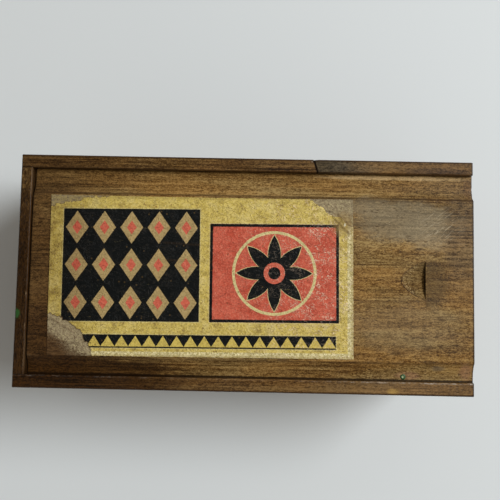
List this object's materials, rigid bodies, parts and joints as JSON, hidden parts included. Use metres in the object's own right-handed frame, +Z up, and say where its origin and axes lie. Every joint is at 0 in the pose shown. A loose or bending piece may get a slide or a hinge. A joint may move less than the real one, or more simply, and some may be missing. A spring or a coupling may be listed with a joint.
{
  "type": "chess box with sliding lid",
  "caption": "Long low stained wooden box with comb-jointed corners; a fielded lid with a thumb notch and a worn paper label slides in side grooves and pulls out at the low end.",
  "frame": {"origin": "on the underside of the base board, below the middle of the closed box and its lid", "axes": "+X is the way the lid slides open, along the length; +Y points to the back wall; +Z points up"},
  "size_m": [0.2228, 0.1136, 0.066],
  "materials": {
    "wood_wall": "stained and varnished hardwood, worn satin",
    "wood_repair": "stained hardwood, greyed beside the glued split",
    "wood_base": "thin stained hardwood board, dull",
    "wood_lid": "stained hardwood, varnish rubbed dull",
    "label_paper": "old printed paper, matt, torn corners",
    "pin_steel": "dull oxidised steel"
  },
  "bodies": {
    "box": {"front_wall": "wood_wall", "back_wall": "wood_wall", "back_wall_lip": "wood_repair", "fixed_end": "wood_wall", "open_end": "wood_wall", "base_board": "wood_base", "base_pins": "pin_steel"},
    "lid": {"sliding_lid": "wood_lid", "lid_label": "label_paper"}
  },
  "joints": [
    {"name": "lid_slide", "type": "slide", "parent": "box", "child": "lid", "axis": [1, 0, 0], "range_m": [0, 0.22]}
  ]
}
